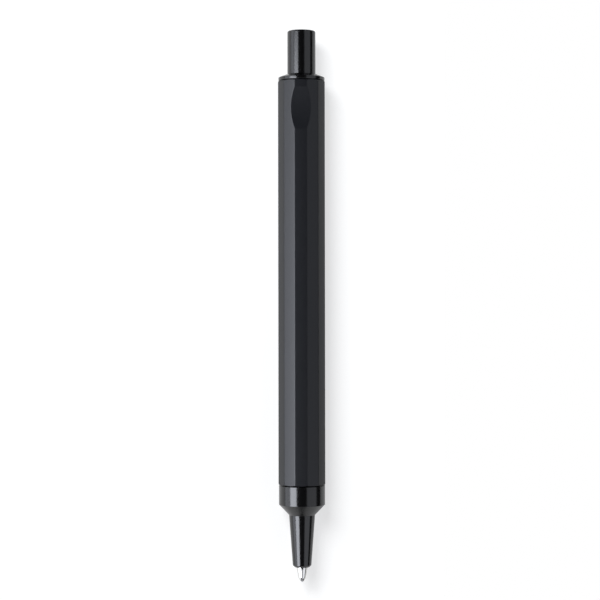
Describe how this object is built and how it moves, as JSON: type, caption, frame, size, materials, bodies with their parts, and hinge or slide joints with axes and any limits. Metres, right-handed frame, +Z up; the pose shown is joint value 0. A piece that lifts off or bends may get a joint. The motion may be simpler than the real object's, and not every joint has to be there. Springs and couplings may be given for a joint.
{
  "type": "retractable ballpoint pen",
  "caption": "Slim faceted click ballpoint pen with a turned nose, a plain round push button, a scooped dish near the top and the writing tip out.",
  "frame": {"origin": "on the surface that the pen lies on, under the middle of its length", "axes": "+Y along the pen towards the button, -Y towards the writing tip, +Z up through the dish facet, +X to the right with the button pointing away"},
  "size_m": [0.011, 0.1314, 0.0111],
  "materials": {
    "barrel_anodised": "bead-blasted, satin black anodised",
    "turned_anodised": "fine turned, semi-gloss black anodised",
    "brass": "turned",
    "acetal": "moulded",
    "cap_plastic": "moulded",
    "refill_steel": "drawn",
    "spring_wire": "wound",
    "nickel_silver": "polished",
    "carbide": "ground",
    "ink": "wet",
    "rubber": "moulded"
  },
  "bodies": {
    "barrel": {"barrel": "barrel_anodised", "thread_insert": "brass", "button_bush": "turned_anodised", "mechanism_housing": "brass", "guide_sleeve": "acetal", "lock_ring": "brass"},
    "button": {"button": "turned_anodised", "plunger": "acetal"},
    "refill": {"refill_end_cap": "cap_plastic", "refill_tube": "refill_steel", "refill_ink": "ink", "refill_neck": "brass", "refill_tip": "nickel_silver", "return_spring": "spring_wire"},
    "cam": {"cam_rotor": "acetal"},
    "ball": {"refill_ball": "carbide"},
    "nose_seal": {"nose_o_ring": "rubber"},
    "nose": {"nose_cone": "turned_anodised"}
  },
  "joints": [
    {"name": "button_press", "type": "slide", "parent": "barrel", "child": "button", "axis": [0, 1, 0], "range_m": [-0.001, 0.005], "stiffness_N_per_m": 200},
    {"name": "refill_travel", "type": "slide", "parent": "barrel", "child": "refill", "axis": [0, 1, 0], "range_m": [-0.001, 0.005], "deforming": ["return_spring"]},
    {"name": "cam_turn", "type": "hinge", "parent": "refill", "child": "cam", "pos_m": [0, 0.0353, 0.00555], "axis": [0, 1, 0], "range_deg": [-9.5, 45.5]},
    {"name": "ball_roll", "type": "hinge", "parent": "refill", "child": "ball", "pos_m": [0, -0.0652, 0.00555], "axis": [1, 0, 0], "continuous": true},
    {"name": "nose_withdraw", "type": "slide", "parent": "barrel", "child": "nose_seal", "axis": [0, -1, 0], "range_m": [0, 0.006], "deforming": ["return_spring"]},
    {"name": "nose_unscrew", "type": "hinge", "parent": "nose_seal", "child": "nose", "pos_m": [0, -0.0452, 0.00555], "axis": [0, -1, 0], "range_deg": [0, 2885]}
  ],
  "couplings": [
    {"joint": "refill_travel", "follows": "button_press", "ratio": 1},
    {"joint": "cam_turn", "follows": "button_press", "rad_per_m": 157.08},
    {"joint": "nose_unscrew", "follows": "nose_withdraw", "rad_per_m": 8377.6}
  ]
}
